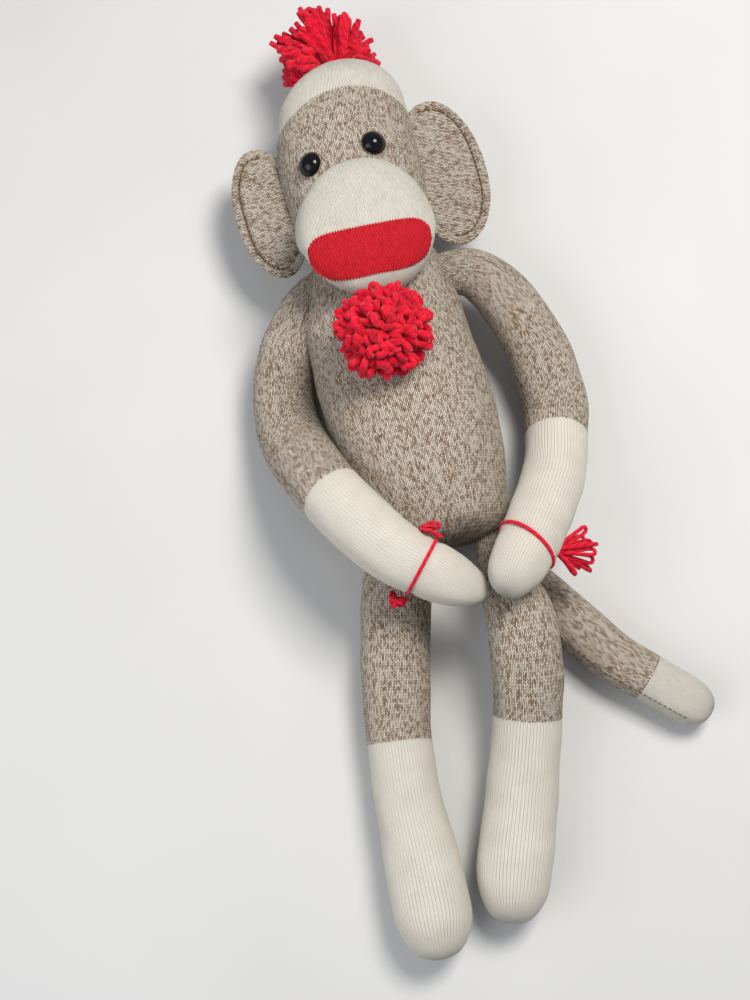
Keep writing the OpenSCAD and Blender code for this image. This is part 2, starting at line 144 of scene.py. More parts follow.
def rows_mesh(name, rows, uv, material, start_pole=None, end_pole=None, closed=True, flat_uv=False):
    """Mesh over a grid of points [row, side, xyz] with uv [row, side + 1, 2], closed round its sides.

    A pole is a point that a fan of triangles joins to the first or last row.
    """
    m, n = rows.shape[:2]
    columns = n if closed else n - 1
    i, j = (a.ravel() for a in np.meshgrid(np.arange(m - 1), np.arange(columns), indexing="ij"))
    k = (j + 1) % n
    quads = np.stack([i * n + j, (i + 1) * n + j, (i + 1) * n + k, i * n + k], 1)
    flat = uv.reshape(-1, 2)
    w = uv.shape[1]
    quad_uv = flat[np.stack([i * w + j, (i + 1) * w + j, (i + 1) * w + j + 1, i * w + j + 1], 1)]
    points, faces, face_uv = [rows.reshape(-1, 3)], quads.tolist(), [quad_uv.reshape(-1, 2)]
    side = np.arange(n)
    total = m * n
    for pole, row, way in ((start_pole, 0, 1), (end_pole, m - 1, -1)):
        if pole is None:
            continue
        points.append(np.asarray(pole, float)[None])
        a, b = row * n + side, row * n + (side + 1) % n
        faces += np.stack([np.full(n, total), *((a, b) if way > 0 else (b, a))], 1).tolist()
        ua, ub = uv[row, :-1], uv[row, 1:]
        tip = np.tile(uv[row].mean(0), (n, 1)) if flat_uv else (ua + ub) / 2 - [0, way * 0.5]
        face_uv.append(np.stack([tip, *((ua, ub) if way > 0 else (ub, ua))], 1).reshape(-1, 2))
        total += 1
    mesh = bpy.data.meshes.new(name)
    mesh.from_pydata(np.concatenate(points).tolist(), [], faces)
    layer = mesh.uv_layers.new(name="knit")
    layer.data.foreach_set("uv", np.concatenate(face_uv).astype(np.float32).ravel())
    mesh.polygons.foreach_set("use_smooth", np.ones(len(faces), bool))
    mesh.materials.append(material)
    mesh.update()
    made = bpy.data.objects.new(name, mesh)
    bpy.context.collection.objects.link(made)
    return made


# --- Knit: a ragg sock's marled stockinette, brown, grey and cream plies in columns 2 mm apart ---
# Each stitch is a V of two legs. The plies turn over along the yarn, so the colours run in
# short streaks along a course.
MM = 0.001
wale, course = 1.95 * MM, 1.6 * MM
leg_slant = 1.05


def stitch(d):
    """Where a point is in its stitch: half wale number, course number, place across and along a leg."""
    uv = d.node("UVMap", {"uv_map": "knit"})
    u = d.node("SeparateXYZ", sockets={0: uv}, out=0)
    v = d.node("SeparateXYZ", sockets={0: uv}, out=1)
    across = ((u.part() - 0.5).size()) * 2
    leaned = v - across * leg_slant
    return u, v, (u * 2).floor(), leaned.floor(), across, leaned.part()


def leg_height(across, along, column=0.55, turn=0.6):
    """Round legs: half a sine along the course times half a sine across the leg."""
    return ((along * np.pi).sine() ** turn) * ((1 - column) + (across * np.pi).sine() * column)


def ragg_colour(d):
    u, v, half, row, across, along = stitch(d)
    cell = d.node("CombineXYZ", sockets={0: half, 1: row})
    speck = d.node("TexWhiteNoise", {"noise_dimensions": "2D"}, {"Vector": cell})
    run = d.node("CombineXYZ", sockets={0: u * 0.3, 1: (v - across * leg_slant) * 0.95})
    streak = d.node("TexNoise", {"noise_dimensions": "2D"}, {"Vector": run, "Scale": 1.0, "Detail": 3.0})
    fine = d.node("CombineXYZ", sockets={0: u * 3.1, 1: (v - across * leg_slant) * 1.8})
    ply = d.node("TexNoise", {"noise_dimensions": "2D"}, {"Vector": fine, "Scale": 1.3, "Detail": 1.0})
    # The leg height lightens the tops of the stitch legs and darkens the gaps between them, and the grey
    # multiply darkens the gaps again: painted highlight and painted shade on the stitch relief, over the yarn's
    # random marl of speck, streak and ply.
    height = leg_height(across, along, 0.85, 0.45)
    tone_and_painted_shade = (speck - 0.5) * 0.8 + (streak - 0.5) * 0.6 + (ply - 0.5) * 0.5 + (height - 0.5) * 0.75 + 0.47
    painted_gap_shade = 0.30 + height * 0.80
    yarn = d.node("ValToRGB", {"stops": [(0.05, (0.23, 0.13, 0.06)), (0.27, (0.39, 0.25, 0.14)),
                                         (0.45, (0.58, 0.42, 0.28)), (0.62, (0.88, 0.77, 0.62)),
                                         (0.9, (1.0, 0.92, 0.80))]}, {"Fac": tone_and_painted_shade})
    grey = d.node("CombineColor", sockets={0: painted_gap_shade, 1: painted_gap_shade, 2: painted_gap_shade})
    return d.node("Mix", {"data_type": "RGBA", "blend_type": "MULTIPLY"},
                  {0: 1.0, 6: yarn, 7: grey}, out=2)


def knit_relief(d):
    _, _, _, _, across, along = stitch(d)
    uv = d.node("UVMap", {"uv_map": "knit"})
    fluff = d.node("TexNoise", sockets={"Vector": uv, "Scale": 3.0, "Detail": 3.0})
    return leg_height(across, along, 0.8, 0.5) + fluff * 0.35


ragg_knit = finish_of("ragg_knit", ragg_colour, 0.95, knit_relief, 0.0011, sheen=0.1)


def spline(points, t):
    """Smooth curve through the rows of points at t = 0, 1, 2 ...: each span's cubic leaves and enters
    along the line between its neighbours."""
    points, t = np.asarray(points, float), np.asarray(t, float)
    last = len(points) - 1
    i = np.clip(np.floor(t).astype(int), 0, last - 1)
    a, b, c, d = (points[np.clip(i + k, 0, last)] for k in (-1, 0, 1, 2))
    u = (t - i)[..., None]
    return (b + (c - a) * u / 2 + (2 * a - 5 * b + 4 * c - d) * u ** 2 / 2
            + (3 * b - a - 3 * c + d) * u ** 3 / 2)


def plump(ring, held, limit):
    """Blows up a tube of points [row, side, xyz] in millimetres as sewn cloth and returns it moved.

    A closed copy with every fourth side and every third row is simulated: pressure from inside, a
    fabric 3% too large, and the rows listed in held kept still. Each point moves as its copy does,
    less the mean swelling of its row, and by no more than limit.
    """
    m, n = ring.shape[:2]
    rows = np.unique(np.round(np.linspace(0, m - 1, max(6, m // 3))).astype(int))
    every = 4
    coarse = ring[rows][:, ::every]
    r, c = coarse.shape[:2]
    i, j = (a.ravel() for a in np.meshgrid(np.arange(r - 1), np.arange(c), indexing="ij"))
    k = (j + 1) % c
    quads = np.stack([i * c + j, (i + 1) * c + j, (i + 1) * c + k, i * c + k], 1).tolist()
    j = np.arange(c)
    k = (j + 1) % c
    last = (r - 1) * c
    ends = [*np.stack([np.full(c, r * c), j, k], 1).tolist(),
            *np.stack([np.full(c, r * c + 1), last + k, last + j], 1).tolist()]
    points = np.concatenate([coarse.reshape(-1, 3), coarse[[0, -1]].mean(1)]) * MM
    # The simulation runs at ten times life size, and its moves are scaled back
    magnify = 10
    mesh = bpy.data.meshes.new("plump")
    mesh.from_pydata((points * magnify).tolist(), [], quads + ends)
    copy = bpy.data.objects.new("plump", mesh)
    bpy.context.collection.objects.link(copy)
    group = copy.vertex_groups.new(name="held")
    for row in held:
        at = row % r
        group.add(list(range(at * c, at * c + c)) + [r * c + (at > 0)], 1.0, "REPLACE")
    cloth = copy.modifiers.new("cloth", "CLOTH")
    cloth.settings.use_pressure = True
    cloth.settings.uniform_pressure_force = 4
    cloth.settings.shrink_min = cloth.settings.shrink_max = -0.03
    cloth.settings.effector_weights.gravity = 0
    cloth.settings.vertex_group_mass = "held"
    cloth.collision_settings.use_collision = False
    frames = 20
    cloth.point_cache.frame_start, cloth.point_cache.frame_end = 1, frames
    for f in range(1, frames + 1):
        bpy.context.scene.frame_set(f)
    done = copy.evaluated_get(bpy.context.evaluated_depsgraph_get()).to_mesh()
    moved = np.empty(len(points) * 3, np.float32)
    done.vertices.foreach_get("co", moved)
    copy.to_mesh_clear()
    move = (moved.reshape(-1, 3) / magnify - points)[:r * c].reshape(r, c, 3) / MM
    bpy.data.objects.remove(copy)
    bpy.data.meshes.remove(mesh)
    bpy.context.scene.frame_set(1)
    out = coarse - coarse.mean(1, keepdims=True)
    out /= np.linalg.norm(out, axis=-1)[..., None]
    swell = (move * out).sum(-1, keepdims=True)
    move = move - out * swell.mean(1, keepdims=True)
    long = np.linalg.norm(move, axis=-1)[..., None]
    move = move * np.minimum(1, limit / (long + 1e-9))
    flat = move.reshape(r, -1)
    over = np.stack([np.interp(np.arange(m), rows, flat[:, x]) for x in range(3 * c)], -1)
    over = over.reshape(m, c, 3)
    side = np.arange(n) / every
    a = np.floor(side).astype(int)
    part = (side - a)[None, :, None]
    part = part * part * (3 - 2 * part)
    return ring + over[:, a % c] * (1 - part) + over[:, (a + 1) % c] * part


def stuffed_tube(name, limb, start, end, material, wales, round_start=0.0, round_end=0.0, way=None,
                 teeth=(0, 0), waist=(), pitch=(wale, course), rest=0.3, lump=0.35):
    """Tube round a limb, whose rows are x, y, z, half width and half height in millimetres.

    A point is the spline's place, plus the ring's side times half width times cos, plus its top times
    half height times sin. A rounded end shrinks by cos g while it advances by sin g. teeth shifts the
    first or last row by half a course at every other side, for a colour change; waist lists
    (t, width, depth) of drawn-in places. Nothing goes below the surface it rests on.
    """
    sides = 2 * wales
    fine = np.linspace(start, end, 400)
    length = np.r_[0, np.cumsum(np.linalg.norm(np.diff(spline(limb, fine)[:, :3], axis=0), axis=1))]
    courses = max(4, int(round(length[-1] * MM / pitch[1])))
    t = np.interp(np.linspace(0, length[-1], courses + 1), length, fine)
    share = np.ones_like(t)
    if round_start:
        g = np.radians(np.linspace(88, 0, 14)[:-1])
        t = np.r_[start + round_start * (1 - np.sin(g)), t[t > start + round_start + 0.02]]
        share = np.r_[np.cos(g), np.ones(len(t) - len(g))]
    if round_end:
        g = np.radians(np.linspace(0, 88, 14)[1:])
        keep = t < end - round_end - 0.02
        t, share = np.r_[t[keep], end - round_end * (1 - np.sin(g))], np.r_[share[keep], np.cos(g)]
    p = spline(limb, t)
    if way is None:
        ahead = spline(limb, t + 0.01)[:, :3] - spline(limb, t - 0.01)[:, :3]
        ahead /= np.linalg.norm(ahead, axis=1)[:, None]
    else:
        ahead = np.tile(way, (len(t), 1))
    side = np.cross(ahead, (0, 0, 1))
    side /= np.linalg.norm(side, axis=1)[:, None]
    top = np.cross(side, ahead)
    angle = np.linspace(0, 2 * np.pi, sides + 1) - np.pi / 2
    run = np.r_[0, np.cumsum(np.linalg.norm(np.diff(p[:, :3], axis=0), axis=1))]
    draw = sum((-deep * np.exp(-((t - at) / wide) ** 2) for at, wide, deep in waist), np.zeros_like(t))
    zig = np.where(np.arange(sides) % 2, 0.5, -0.5) * pitch[1] / MM
    shift = np.zeros((len(t), sides))
    shift[0], shift[-1] = zig * teeth[0], zig * teeth[1]
    cos, sin = np.cos(angle[:-1]), np.sin(angle[:-1])
    ring = (p[:, None, :3] + side[:, None] * (((p[:, 3] + draw) * share)[:, None] * cos)[..., None]
            + top[:, None] * (((p[:, 4] + draw) * share)[:, None] * sin)[..., None]
            + ahead[:, None] * shift[..., None])
    out = side[:, None] * cos[None, :, None] + top[:, None] * sin[None, :, None]
    x, y, z = np.moveaxis(ring, -1, 0)
    swell = (np.sin(x / 9 + 1.3 * np.sin(y / 13)) * np.sin(y / 11 + z / 8)
             + 0.5 * np.sin(x / 4.3 + y / 5.1))
    ring = ring + out * (lump * swell * share[:, None])[..., None]
    held = [k for k, used in ((0, not round_start), (-1, not round_end)) if used]
    ring = plump(ring, held, 1.2)
    ring[..., 2] = np.maximum(ring[..., 2], rest)
    u = np.tile(np.linspace(0, wales, sides + 1), (len(t), 1))
    v = np.tile((run * MM / pitch[1])[:, None], (1, sides + 1))
    tips = [ring[k].mean(0) * MM if used else None for k, used in ((0, round_start), (-1, round_end))]
    return rows_mesh(name, ring * MM, np.stack([u, v], -1), material, *tips)


# --- Torso: the leg of the sock, a filled bag 175 mm long that narrows to the gathered neck ---
# It leans 13 degrees and lies flat along the middle of the back.
lean = np.radians(13)
along = np.array([-np.sin(lean), np.cos(lean), 0])
across = np.array([np.cos(lean), np.sin(lean), 0])
neck = np.array([-26.7, 101.5, 41])
torso_rows = [[0, 36, 40, 32], [0, 36.5, 44, 36.5], [-0.5, 38, 48, 41.5], [-1, 38.5, 51, 42.8],
              [-2, 38.3, 51, 42.5], [-3.5, 38.2, 50, 41], [-4, 39, 47.5, 36], [-2, 40.5, 40, 31],
              [0, 41, 27, 26]]
torso_limb = [[*(neck - along * 25 * (7 - i) + across * r[0])[:2], r[1], r[2], r[3]]
              for i, r in enumerate(torso_rows)]
torso = stuffed_tube("torso", torso_limb, 0, 7.8, ragg_knit, 146, 0.62, 0.5, way=along, lump=0.5)
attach(torso, "torso")
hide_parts("torso_cover", "torso_stuffing", "neck_thread")

# --- Legs: the same sock split in two, ragg to the knee, then its cream leg top and toe ---
# The cream part is ribbed more finely. The left thigh starts higher because it lies over the tail.
rib = (1.95 * MM, 1.5 * MM)


def cream_colour(d):
    _, _, half, row, across, along = stitch(d)
    cell = d.node("CombineXYZ", sockets={0: half, 1: row})
    speck = d.node("TexWhiteNoise", {"noise_dimensions": "2D"}, {"Vector": cell})
    uv = d.node("UVMap", {"uv_map": "knit"})
    cloud = d.node("TexNoise", sockets={"Vector": uv, "Scale": 0.12, "Detail": 3.0})
    # Most of this tone is the leg height, which darkens the gaps between the stitch legs and lightens their
    # tops: painted shade and painted highlight; speck and cloud are the yarn's own random tone.
    tone_and_painted_shade = leg_height(across, along, 0.9, 0.45) * 0.72 + speck * 0.2 + cloud * 0.2
    return d.node("ValToRGB", {"stops": [(0.05, (0.26, 0.22, 0.16)), (0.36, (0.70, 0.64, 0.535)),
                                         (0.8, (1.0, 0.955, 0.86))]}, {"Fac": tone_and_painted_shade})


cream_knit = finish_of("cream_knit", cream_colour, 0.95, knit_relief, 0.0009, sheen=0.1)


def rib_colour(d):
    u, _, _, _, across, along = stitch(d)
    uv = d.node("UVMap", {"uv_map": "knit"})
    cloud = d.node("TexNoise", sockets={"Vector": uv, "Scale": 0.12, "Detail": 3.0})
    # The rib's ridges are lightened and its valleys darkened, and so are the stitch legs' tops and gaps:
    # painted highlight and painted shade on the rib's relief; cloud is the yarn's own random tone.
    ridge_painted_shade = ((u.part() * np.pi).sine()) ** 0.7
    tone_and_painted_shade = ridge_painted_shade * 0.17 + leg_height(across, along, 0.9, 0.45) * 0.5 + cloud * 0.3
    return d.node("ValToRGB", {"stops": [(0.05, (0.34, 0.29, 0.22)), (0.4, (0.70, 0.65, 0.55)),
                                         (0.9, (0.93, 0.89, 0.80))]}, {"Fac": tone_and_painted_shade})


def rib_relief(d):
    u, _, _, _, across, along = stitch(d)
    return ((u.part() * np.pi).sine()) ** 0.7 * 0.3 + leg_height(across, along, 0.85, 0.5) * 0.6


cream_rib = finish_of("cream_rib", rib_colour, 0.95, rib_relief, 0.0008, sheen=0.1)

leg_left = [[40, -54, 22, 10, 11], [46.5, -86, 33, 15, 15.5], [54, -113, 44, 19.5, 19.3],
            [58, -141, 40, 20, 19.5], [58, -166, 32, 19.5, 19.5], [56.5, -192, 25, 20.2, 20],
            [53.5, -221, 20.5, 21, 20.8], [50, -249, 20.5, 21.3, 21], [47.7, -278, 20.5, 19, 19]]
leg_right = [[-6, -56, 28, 17, 18], [-14, -86, 22, 20, 21], [-16, -112, 21, 20.5, 21],
             [-16, -146, 20.5, 19.6, 20.3], [-14, -180, 19.5, 18.6, 19.8], [-9, -213, 19.5, 19, 19.8],
             [-2.5, -242, 20.5, 21, 20.9], [3.5, -270, 21, 22, 21.4], [7.7, -297, 21, 19.5, 19.5]]


def crossing(limb, t, before, after):
    """Points on a limb's middle before and after t, in metres."""
    p = spline(limb, np.array([t]))[0, :3]
    ahead = (spline(limb, np.array([t + 0.01])) - spline(limb, np.array([t - 0.01])))[0, :3]
    ahead /= np.linalg.norm(ahead)
    return tuple((p - ahead * before) * MM), tuple((p + ahead * after) * MM)


for side, limb in (("left", leg_left), ("right", leg_right)):
    thigh = stuffed_tube(f"leg_ragg_{side}", limb, 0, 4, ragg_knit, 64, 0.5, teeth=(0, 1))
    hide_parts(f"hip_cover_{side}", f"hip_stuffing_{side}",
                f"leg_{side}", f"leg_stuffing_{side}")
    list(crossing(limb, 2, 14, 14))
    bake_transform(thigh)
    foot = stuffed_tube(f"foot_cream_{side}", limb, 4, 8, cream_rib, 64, 0, 0.95,
                        teeth=(1, 0), pitch=rib)
    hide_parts(f"foot_{side}", f"foot_stuffing_{side}")
    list(crossing(limb, 4, 0, 26))
    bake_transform(foot)

# --- Arms: a ragg sleeve sewn to the shoulder, with the sock's cream end as forearm and hand ---
arm_left = [[4, 96, 42, 11, 11], [18, 97, 43, 13, 13], [34, 95, 43, 15, 15.5], [52, 80, 38, 17, 17.5],
            [70, 54, 29, 18.8, 19], [80, 24, 24, 19.5, 20], [80, -1, 29, 18.5, 19],
            [76, -27, 43, 18.4, 18.5], [66, -54, 62, 18, 18], [56, -76, 76, 17, 17],
            [48, -92, 82, 15.5, 15.5], [43, -106, 83, 13, 13.5]]
arm_right = [[-50, 92, 42, 9, 10], [-61, 86, 42, 12, 12.5], [-70, 74, 40, 14.5, 15.5],
             [-78.5, 54, 34, 17, 17.5], [-82.5, 28, 24.5, 18.4, 19],
             [-77.5, 0, 29, 19.5, 19.5], [-64, -28, 51, 19.3, 19.3],
             [-46.5, -53, 69, 18.8, 18.5], [-23, -76, 74.5, 18, 18], [-4, -87, 73.5, 17, 17],
             [15, -96, 72, 14.5, 15], [33, -103, 71, 11.5, 12]]
for side, limb, elbow, tip, wrist in (("left", arm_left, 6, 1.25, 9.05),
                                      ("right", arm_right, 6.75, 1.3, 9.15)):
    sleeve = stuffed_tube(f"sleeve_ragg_{side}", limb, 0, elbow, ragg_knit, 58, 0.7, teeth=(0, 1))
    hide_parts(f"sleeve_{side}", f"sleeve_stuffing_{side}")
    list(crossing(limb, 1.2, 6, 16))
    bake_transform(sleeve)
    hand = stuffed_tube(f"hand_cream_{side}", limb, elbow, 11, cream_rib, 58, 0, tip, teeth=(1, 0),
                        waist=[(wrist, 0.12, 0.9)], pitch=rib)
    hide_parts(f"hand_{side}", f"hand_stuffing_{side}")
    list(crossing(limb, elbow, 0, 26))
    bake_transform(hand)

# --- Tail: a narrow ragg tube with a cream tip, sewn to the seat and lying on the table ---
tail_limb = [[44, -50, 14, 9, 8], [53, -66, 12, 11, 8], [60, -82, 11.5, 14, 10], [76, -98, 12, 15.5, 11.5],
             [91, -113, 14.5, 15.8, 14.5], [109, -129, 15, 15.2, 15.2], [130, -142, 14.5, 14.2, 15],
             [149, -153, 14, 13.7, 14.5], [165, -163, 13.5, 12.5, 14]]
tail = stuffed_tube("tail_ragg", tail_limb, 0, 6, ragg_knit, 46, 0.5, teeth=(0, 1))
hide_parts("tail_cover", "tail_stuffing")
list(crossing(tail_limb, 1, 8, 10))
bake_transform(tail)
tail_end = stuffed_tube("tail_cream", tail_limb, 6, 8, cream_knit, 52, 0, 0.9, teeth=(1, 0), pitch=rib)
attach(tail_end, "tail")
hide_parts("tail_tip")

# --- Head: the sock's foot, ragg up to an arched change to the cream toe that caps the crown ---
head_rows = [[0, 31, 31], [-0.7, 40.5, 39], [-1.5, 43.5, 41], [-1.2, 43.5, 41], [1.5, 40, 38.5], [5, 35, 36]]
head_step = 134 / 5
head_limb = [[*(neck + along * head_step * i + across * r[0])[:2], 40.5, r[1], r[2]]
             for i, r in enumerate(head_rows)]


def head_point(t, angle, off=0.0):
    """Point of the head's skin at a place along it and an angle from its left side towards its front.

    Past t = 4 the rings shrink as a quarter circle, which closes the crown at t = 5.
    """
    t, angle = np.broadcast_arrays(t, angle)
    p = spline(head_limb, t)
    share = np.sqrt(np.clip(1 - np.clip(t - 4, 0, 1) ** 2, 0, 1))
    return (p[..., :3] + across * ((p[..., 3] * share + off) * np.cos(angle))[..., None]
            + np.array([0, 0, 1]) * ((p[..., 4] * share + off) * np.sin(angle))[..., None])


head_wales = 136
head_angle = np.linspace(0, 2 * np.pi, 2 * head_wales + 1) - np.pi / 2


def cap_edge(angle):
    """Where the cream starts: an arch over the forehead, and straight round the back."""
    front = np.clip(np.sin(angle), 0, 1)
    return 3.33 + 0.47 * front ** 1.3 - 0.05 * np.clip(-np.sin(angle), 0, 1)


def head_skin(name, low, high, count, material, teeth, tip):
    """Rows of the head's skin from low to high, both functions of the angle, evenly spaced."""
    angle = head_angle[:-1]
    step = np.linspace(0, 1, count)[:, None]
    t = low * (1 - step) + high * step
    zig = np.where(np.arange(2 * head_wales) % 2, 0.5, -0.5) * course / MM / head_step
    t[0] += zig * teeth[0]
    t[-1] += zig * teeth[1]
    skin = head_point(t, angle)
    x, y, z = np.moveaxis(skin, -1, 0)
    swell = 0.45 * (np.sin(x / 9 + 1.3 * np.sin(y / 13)) * np.sin(y / 11 + z / 8))
    skin[..., 2] = np.maximum(skin[..., 2] + swell * np.sin(angle), 0.3)
    u = np.tile(np.linspace(0, head_wales, 2 * head_wales + 1), (count, 1))
    v = np.concatenate([t, t[:, :1]], 1) * head_step * MM / course
    start = None if teeth[0] else skin[0].mean(0) * MM
    return rows_mesh(name, skin * MM, np.stack([u, v], -1), material, start, tip)


edge = cap_edge(head_angle[:-1])[None]
face = head_skin("head_ragg", np.full_like(edge, -0.35), edge, 76, ragg_knit, (0, 1), None)
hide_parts("head_cover", "head_stuffing")
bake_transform(face)
crown = head_point(np.array(5.0), np.array(0.0))
cap = head_skin("crown_cap_cream", edge, np.full_like(edge, 4.999), 60, cream_knit, (1, 0), crown * MM)
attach(cap, "head")
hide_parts("crown_cap")

# --- Muzzle: a cream bag sewn to the face round its rim and filled until its sides stand up ---
muzzle_mid = neck + across * -5 + along * 10
muzzle_half, muzzle_long, muzzle_top = 42.5, 40, 106


def down(b):
    """Share along the bag, stretched below its middle, where it hangs over the chest."""
    return b - 0.17 * np.clip(-b, 0, 1) ** 1.5


def rim_share(g):
    """Share of the muzzle's half size at angle g above its rim: a cosine that bulges low down."""
    return 0.93 * np.cos(g) ** 0.75 + 0.108 * np.sin(2 * g)


chest_top = 81.5    # height of the rim over the chest
chest_rise = 4.2    # how much higher it gets on the right
rounding = 12       # mm2 that soften the crossing of face and chest


def seat(place):
    """Height that the bag's rim has over a place: the head's skin or the chest, whichever is higher."""
    rel = (place - neck) @ along
    p = spline(head_limb, np.clip(rel / head_step, 0.2, 4.2))
    side = (place[..., :2] - p[..., :2]) @ across[:2]
    k = np.clip(side / p[..., 3], -0.8, 0.8)
    face = p[..., 2] + p[..., 4] * np.sqrt(1 - k ** 2) + 0.5
    chest = (chest_top + chest_rise * np.clip((7 - side) / 12, 0, 1) + 0.12 * np.minimum(0, rel)
             - 1.2 * np.maximum(0, rel + 3))
    return (face + chest + np.sqrt((face - chest) ** 2 + rounding)) / 2


def muzzle_flat(a, b):
    """Place on the bag's middle plane at shares a and b of its half width and half length."""
    return (muzzle_mid + across * (muzzle_half * a)[..., None]
            + along * (muzzle_long * down(b))[..., None])


def muzzle_point(a, b, off=0.0):
    """Point of the bag over shares a and b of its half width and half length, off millimetres above."""
    r = np.hypot(a, b)
    table = np.radians(np.linspace(90, 24, 120))
    g = np.interp(r, rim_share(table), table)
    plane = muzzle_flat(a, b)
    scale = 0.93 / np.maximum(r, 1e-6)
    rim = muzzle_flat(a * scale, b * scale)
    low = seat(rim)
    out = across * a[..., None] + along * b[..., None] + np.array([0, 0, 1]) * np.sin(g)[..., None]
    out /= np.linalg.norm(out, axis=-1)[..., None]
    high = low + (muzzle_top - low) * np.sin(g)
    return np.concatenate([plane[..., :2], high[..., None]], -1) + out * off


turn = np.linspace(0, 2 * np.pi, 241)
climb = np.radians(np.r_[np.linspace(0, 30, 22), np.linspace(32, 89.9, 46)])
g, way = climb[:, None], turn[None, :-1]
r = rim_share(g)
low = seat(muzzle_flat(r[0] * np.cos(way), r[0] * np.sin(way)))
bag = muzzle_flat(r * np.cos(way), r * np.sin(way))
bag[..., 2] = low + (muzzle_top - low) * np.sin(g)
pucker = 0.5 * np.sin(way * 34) * np.exp(-g * 9)
outward = across * np.cos(way)[..., None] + along * np.sin(way)[..., None]
bag += outward * (pucker - 1.3 * np.exp(-g * 14))[..., None]
floor_mid = np.array([*muzzle_mid[:2], 73])
hem = [bag[:1] + (floor_mid - bag[:1]) * part - [0, 0, 0.4] for part in (0.7, 0.35, 0.06)]
bag = np.concatenate([*hem, bag])
step_long = np.linalg.norm(np.diff(bag[::-1], axis=0), axis=-1)
arc = np.concatenate([np.cumsum(step_long, axis=0)[::-1], np.zeros((1, len(turn) - 1))])
arc = np.concatenate([arc, arc[:, :1]], 1)
muzzle_wale, muzzle_course = 1.75, 1.5
uv = np.stack([arc * np.cos(turn) / muzzle_wale, arc * np.sin(turn) / muzzle_course], -1)
top_point = np.array([*muzzle_mid[:2], muzzle_top])
muzzle = rows_mesh("muzzle_cream", bag[:, ::-1] * MM, uv[:, ::-1], cream_knit,
                   floor_mid * MM, top_point * MM, flat_uv=True)
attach(muzzle, "head")
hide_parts("muzzle_cover", "muzzle_stuffing")

# --- Mouth: the sock's red heel, its edges stepping one stitch at a time into the cream ---


def red_colour(d):
    _, _, half, row, across, along = stitch(d)
    cell = d.node("CombineXYZ", sockets={0: half, 1: row})
    speck = d.node("TexWhiteNoise", {"noise_dimensions": "2D"}, {"Vector": cell})
    # The leg height darkens the gaps between the stitch legs to near black and lightens their tops: painted
    # shade and painted highlight; speck is the yarn's own random tone.
    tone_and_painted_shade = leg_height(across, along, 0.85, 0.5) * 0.85 + speck * 0.2
    return d.node("ValToRGB", {"stops": [(0.1, (0.14, 0.002, 0.006)), (0.5, (0.72, 0.012, 0.026)),
                                         (0.82, (1.0, 0.045, 0.065))]}, {"Fac": tone_and_painted_shade})


red_knit = finish_of("red_knit", red_colour, 0.95, knit_relief, 0.0009)
mouth_a = np.linspace(-0.85, 0.8, 2 * 43 + 1)
mouth_step = np.linspace(0, 1, 30)[:, None]
tooth = np.where(np.arange(len(mouth_a)) % 2, 0.012, -0.012)
upper = (-0.24 + 0.06 * mouth_a ** 2 - 0.13 * np.abs((mouth_a + 0.025) / 0.825) ** 9
         - 0.03 * np.clip(mouth_a, 0, 1) + tooth)
lower = -0.34 - 0.47 * np.clip(1 - np.abs((mouth_a + 0.025) / 0.845) ** 3, 0.01, 1) ** 0.5 + tooth
b = lower * (1 - mouth_step) + upper * mouth_step
lips = muzzle_point(np.broadcast_to(mouth_a, b.shape), b, 0.45)
mouth_wale = 1.65
uv = np.stack([np.broadcast_to(mouth_a * muzzle_half / mouth_wale, b.shape),
               down(b) * muzzle_long / muzzle_course], -1)
mouth = rows_mesh("mouth_red", lips[::-1] * MM, uv[::-1], red_knit, closed=False)
rim_fold = mouth.modifiers.new("fold", "SOLIDIFY")
rim_fold.thickness, rim_fold.offset = 0.5 * MM, -1
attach(mouth, "head")
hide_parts("mouth_patch")

# --- Eyes: black plastic domes 15 mm across, each on a shank through the knit ---


def eye_colour(d):
    place = d.node("TexCoord", out=3)
    dust = d.node("TexNoise", sockets={"Vector": place, "Scale": 900.0, "Detail": 2.0})
    stops = [(0.0, (0.002, 0.002, 0.003)), (1.0, (0.007, 0.007, 0.008))]
    return d.node("ValToRGB", {"stops": stops}, {"Fac": dust})


eye_plastic = finish_of("eye_plastic", eye_colour, 0.12, coat=0.12)
profile = np.array([[0.03, 5.6], [1.5, 5.45], [3, 5.0], [4.6, 4.1], [6, 2.9], [7, 1.5], [7.4, 0.5], [7.2, -0.1],
                    [6.6, -0.4], [2.1, -0.5], [2, -12.5], [0.03, -13]])
knots = np.linspace(0, len(profile) - 1, 70)
radius, rise = spline(profile, knots).T
for side, (x, y) in (("left", (-29, 164)), ("right", (-66, 153))):
    rel = (np.array([x, y, 0]) - neck) @ along
    p = spline(head_limb, np.array([rel / head_step]))[0]
    k = ((np.array([x, y]) - p[:2]) @ across[:2]) / p[3]
    base = np.array([x, y, p[2] + p[4] * np.sqrt(1 - k * k)])
    out = across * (k / p[3]) + np.array([0, 0, 1]) * (np.sqrt(1 - k * k) / p[4])
    out /= np.linalg.norm(out)
    left = np.cross(out, along)
    left /= np.linalg.norm(left)
    fore = np.cross(out, left)
    spin = np.linspace(0, 2 * np.pi, 64, endpoint=False)
    dome = (base + out * 0.7 + left * (radius[:, None] * np.cos(spin))[..., None]
            + fore * (radius[:, None] * np.sin(spin))[..., None] + out * rise[:, None, None])
    uv = np.stack(np.meshgrid(np.linspace(0, 1, 65), knots), -1)
    eye = rows_mesh(f"eye_dome_{side}", dome * MM, uv, eye_plastic,
                    dome[0].mean(0) * MM, dome[-1].mean(0) * MM)
    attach(eye, "head")
    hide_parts(f"eye_{side}")

# --- Ears: two layers of the ragg knit sewn round the rim, turned, and topstitched near the edge ---
# The roots are sewn into the sides of the head, so each ear starts a little inside it.


